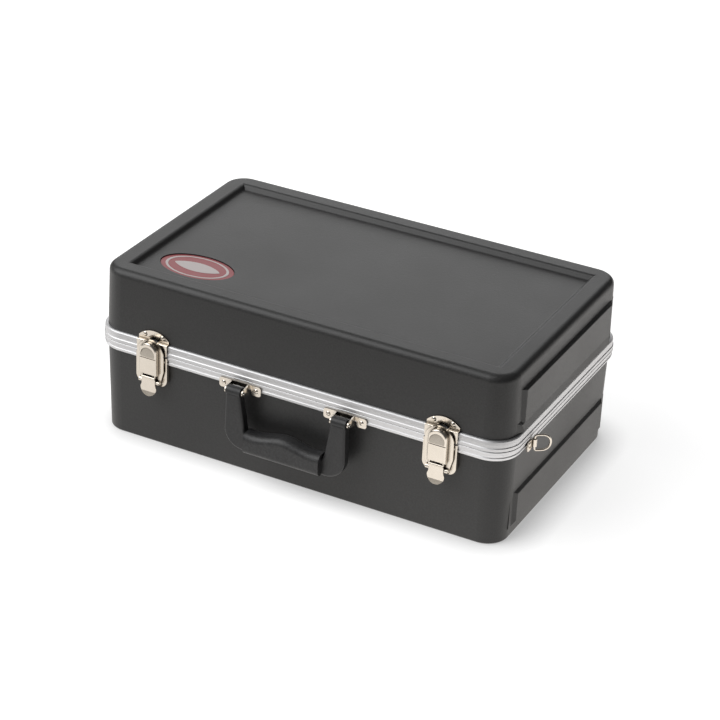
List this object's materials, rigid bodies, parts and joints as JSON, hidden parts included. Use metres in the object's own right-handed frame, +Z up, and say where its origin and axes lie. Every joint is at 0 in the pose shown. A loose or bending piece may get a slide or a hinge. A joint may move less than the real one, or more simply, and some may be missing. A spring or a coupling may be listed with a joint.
{
  "type": "cornet case",
  "caption": "Rectangular hard-shell instrument case with a hinged lid, metal valance, draw latches and a bow handle.",
  "frame": {"origin": "centre of the flat underside that the closed case lies on", "axes": "+X along the front to the right seen from the front, the latches and handle face -Y, +Z up"},
  "size_m": [0.4692, 0.2929, 0.1747],
  "materials": {
    "shell_plastic": "fine textured satin",
    "valance_metal": "satin anodised, brushed along its length",
    "plated_steel": "warm nickel plate",
    "pin_steel": "bright drawn",
    "handle_plastic": "moulded satin",
    "grip_plastic": "moulded soft satin",
    "plush": "short pile plush over foam",
    "badge_enamel": "gloss enamel"
  },
  "bodies": {
    "lid": {"badge": "badge_enamel", "catch_rivets": "plated_steel", "hinge_lid_leaf_left": "plated_steel", "hinge_lid_leaf_right": "plated_steel", "hinge_lid_rivets": "plated_steel", "latch_catch_left": "plated_steel", "latch_catch_right": "plated_steel", "lid_liner": "plush", "lid_shell": "shell_plastic", "upper_valance": "valance_metal"},
    "base": {"base_liner": "plush", "base_shell": "shell_plastic", "bracket_rivets": "plated_steel", "d_ring_bracket_left": "plated_steel", "d_ring_bracket_right": "plated_steel", "d_ring_rivets": "plated_steel", "handle_bracket_left": "plated_steel", "handle_bracket_right": "plated_steel", "handle_pin_left": "pin_steel", "handle_pin_right": "pin_steel", "hinge_base_leaf_left": "plated_steel", "hinge_base_leaf_right": "plated_steel", "hinge_base_rivets": "plated_steel", "hinge_pin_left": "pin_steel", "hinge_pin_right": "pin_steel", "latch_base_left": "plated_steel", "latch_base_right": "plated_steel", "latch_rivets": "plated_steel", "lever_pin_left": "pin_steel", "lever_pin_right": "pin_steel", "lower_valance": "valance_metal"},
    "ring_left": {"d_ring_left": "plated_steel"},
    "ring_right": {"d_ring_right": "plated_steel"},
    "handle": {"handle_bow": "handle_plastic", "handle_grip": "grip_plastic"},
    "lever_left": {"hook_pin_left": "pin_steel", "latch_lever_left": "plated_steel"},
    "lever_right": {"hook_pin_right": "pin_steel", "latch_lever_right": "plated_steel"},
    "hook_left": {"latch_hook_left": "plated_steel"},
    "hook_right": {"latch_hook_right": "plated_steel"}
  },
  "joints": [
    {"name": "lid_hinge", "type": "hinge", "parent": "base", "child": "lid", "pos_m": [0, 0.1358, 0.1007], "axis": [-1, 0, 0], "range_deg": [0, 105]},
    {"name": "handle_swing", "type": "hinge", "parent": "base", "child": "handle", "pos_m": [0, -0.143, 0.093], "axis": [-1, 0, 0], "range_deg": [0, 100]},
    {"name": "lever_left_throw", "type": "hinge", "parent": "base", "child": "lever_left", "pos_m": [-0.15245, -0.1371, 0.08], "axis": [-1, 0, 0], "range_deg": [0, 115]},
    {"name": "hook_left_swing", "type": "hinge", "parent": "lever_left", "child": "hook_left", "pos_m": [-0.15245, -0.1371, 0.0725], "axis": [-1, 0, 0], "range_deg": [-115, 0]},
    {"name": "d_ring_left_swing", "type": "hinge", "parent": "base", "child": "ring_left", "pos_m": [-0.2213, -0.0796, 0.0921], "axis": [0, 0, -1], "range_deg": [-110, 40]},
    {"name": "lever_right_throw", "type": "hinge", "parent": "base", "child": "lever_right", "pos_m": [0.15245, -0.1371, 0.08], "axis": [-1, 0, 0], "range_deg": [0, 115]},
    {"name": "hook_right_swing", "type": "hinge", "parent": "lever_right", "child": "hook_right", "pos_m": [0.15245, -0.1371, 0.0725], "axis": [-1, 0, 0], "range_deg": [-115, 0]},
    {"name": "d_ring_right_swing", "type": "hinge", "parent": "base", "child": "ring_right", "pos_m": [0.2213, -0.0796, 0.0921], "axis": [0, 0, 1], "range_deg": [-110, 40]}
  ],
  "couplings": [
    {"joint": "hook_left_swing", "follows": "lever_left_throw", "ratio": -1},
    {"joint": "hook_right_swing", "follows": "lever_right_throw", "ratio": -1}
  ]
}
